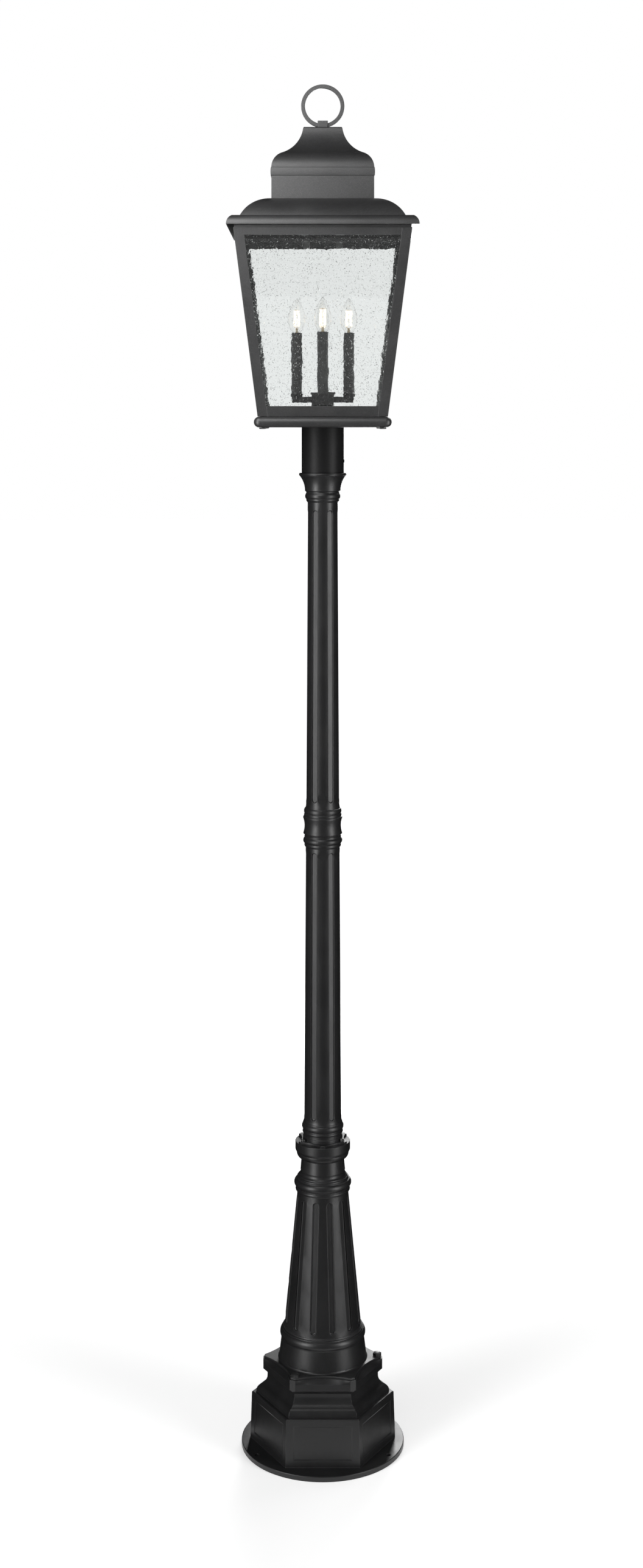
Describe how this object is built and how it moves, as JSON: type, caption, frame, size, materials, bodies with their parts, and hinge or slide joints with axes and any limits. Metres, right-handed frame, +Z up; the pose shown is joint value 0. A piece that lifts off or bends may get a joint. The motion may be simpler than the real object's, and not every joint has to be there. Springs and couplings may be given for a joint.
{
  "type": "post light",
  "caption": "Outdoor post light: a square tapered glass lantern with a candle cluster and a hooded roof, on a fluted pole with a hexagonal pedestal.",
  "frame": {"origin": "centre of the underside of the base flange", "axes": "+Z up along the post, -Y towards the front"},
  "size_m": [0.3802, 0.3802, 2.7864],
  "materials": {
    "post_black": "cast aluminium, satin black paint",
    "lantern_black": "sheet aluminium, fine textured black powder coat",
    "bolt_black": "black coated steel",
    "bare_steel": "zinc plated steel",
    "sleeve_black": "matt black plastic",
    "socket_plastic": "black moulded phenolic",
    "brass": "plain brass",
    "bulb_glass": "clear bulb glass",
    "bulb_metal": "nickel plated cap",
    "filament": "coated filament sticks on a glass stem",
    "lead_black": "black insulation",
    "lead_white": "white insulation",
    "lead_green": "green insulation",
    "seeded_glass": "clear seeded glass"
  },
  "bodies": {
    "post": {"pedestal": "post_black", "base_column": "post_black", "foot_bolts": "bolt_black", "lower_pole": "post_black", "crown_bolts": "bolt_black", "pole_joiner": "bare_steel", "upper_pole": "post_black", "capital": "post_black", "tenon": "bare_steel"},
    "lantern_base": {"post_fitter": "lantern_black", "fitter_screws": "bolt_black", "base_pan": "lantern_black", "cluster_hub": "lantern_black", "hub_cap": "lantern_black", "hub_nipple": "bare_steel", "lock_nuts": "bare_steel", "cluster_arms": "lantern_black", "candle_cups": "lantern_black", "candle_sleeves": "sleeve_black", "socket_rods": "bare_steel", "lamp_sockets": "socket_plastic", "socket_shells": "brass", "live_leads": "lead_black", "neutral_leads": "lead_white", "splice_block": "socket_plastic", "supply_leads": "lead_black", "ground_screw": "brass", "ground_lead": "lead_green"},
    "lantern_cage": {"corner_stiles": "lantern_black", "corner_blocks": "lantern_black", "bottom_rails": "lantern_black", "top_rails": "lantern_black", "glass_front": "seeded_glass", "glass_right": "seeded_glass", "glass_back": "seeded_glass", "glass_left": "seeded_glass", "glass_clips": "bare_steel", "eave": "lantern_black", "bell_roof": "lantern_black", "chimney": "lantern_black", "vent_cap": "lantern_black", "finial_block": "lantern_black", "finial_screw": "bare_steel", "finial_ring": "lantern_black"},
    "thumb_1": {"thumb_screw_1": "lantern_black"},
    "thumb_2": {"thumb_screw_2": "lantern_black"},
    "thumb_3": {"thumb_screw_3": "lantern_black"},
    "thumb_4": {"thumb_screw_4": "lantern_black"},
    "bulb_1": {"bulb_glass_1": "bulb_glass", "bulb_cap_1": "bulb_metal", "bulb_filament_1": "filament"},
    "bulb_2": {"bulb_glass_2": "bulb_glass", "bulb_cap_2": "bulb_metal", "bulb_filament_2": "filament"},
    "bulb_3": {"bulb_glass_3": "bulb_glass", "bulb_cap_3": "bulb_metal", "bulb_filament_3": "filament"},
    "bulb_4": {"bulb_glass_4": "bulb_glass", "bulb_cap_4": "bulb_metal", "bulb_filament_4": "filament"}
  },
  "joints": [
    {"name": "lantern_swivel", "type": "hinge", "parent": "post", "child": "lantern_base", "pos_m": [0, 0, 2.03], "axis": [0, 0, 1], "continuous": true},
    {"name": "cage_lift", "type": "slide", "parent": "lantern_base", "child": "lantern_cage", "axis": [0, 0, 1], "range_m": [0, 0.3]},
    {"name": "thumb_screw_turn_1", "type": "hinge", "parent": "lantern_base", "child": "thumb_1", "pos_m": [0.12, -0.12, 2.09], "axis": [0, 0, 1], "continuous": true},
    {"name": "thumb_screw_turn_2", "type": "hinge", "parent": "lantern_base", "child": "thumb_2", "pos_m": [0.12, 0.12, 2.09], "axis": [0, 0, 1], "continuous": true},
    {"name": "thumb_screw_turn_3", "type": "hinge", "parent": "lantern_base", "child": "thumb_3", "pos_m": [-0.12, 0.12, 2.09], "axis": [0, 0, 1], "continuous": true},
    {"name": "thumb_screw_turn_4", "type": "hinge", "parent": "lantern_base", "child": "thumb_4", "pos_m": [-0.12, -0.12, 2.09], "axis": [0, 0, 1], "continuous": true},
    {"name": "bulb_turn_1", "type": "hinge", "parent": "lantern_base", "child": "bulb_1", "pos_m": [0, -0.0534, 2.27], "axis": [0, 0, 1], "continuous": true},
    {"name": "bulb_turn_2", "type": "hinge", "parent": "lantern_base", "child": "bulb_2", "pos_m": [0.0534, 0, 2.27], "axis": [0, 0, 1], "continuous": true},
    {"name": "bulb_turn_3", "type": "hinge", "parent": "lantern_base", "child": "bulb_3", "pos_m": [0, 0.0534, 2.27], "axis": [0, 0, 1], "continuous": true},
    {"name": "bulb_turn_4", "type": "hinge", "parent": "lantern_base", "child": "bulb_4", "pos_m": [-0.0534, 0, 2.27], "axis": [0, 0, 1], "continuous": true}
  ]
}
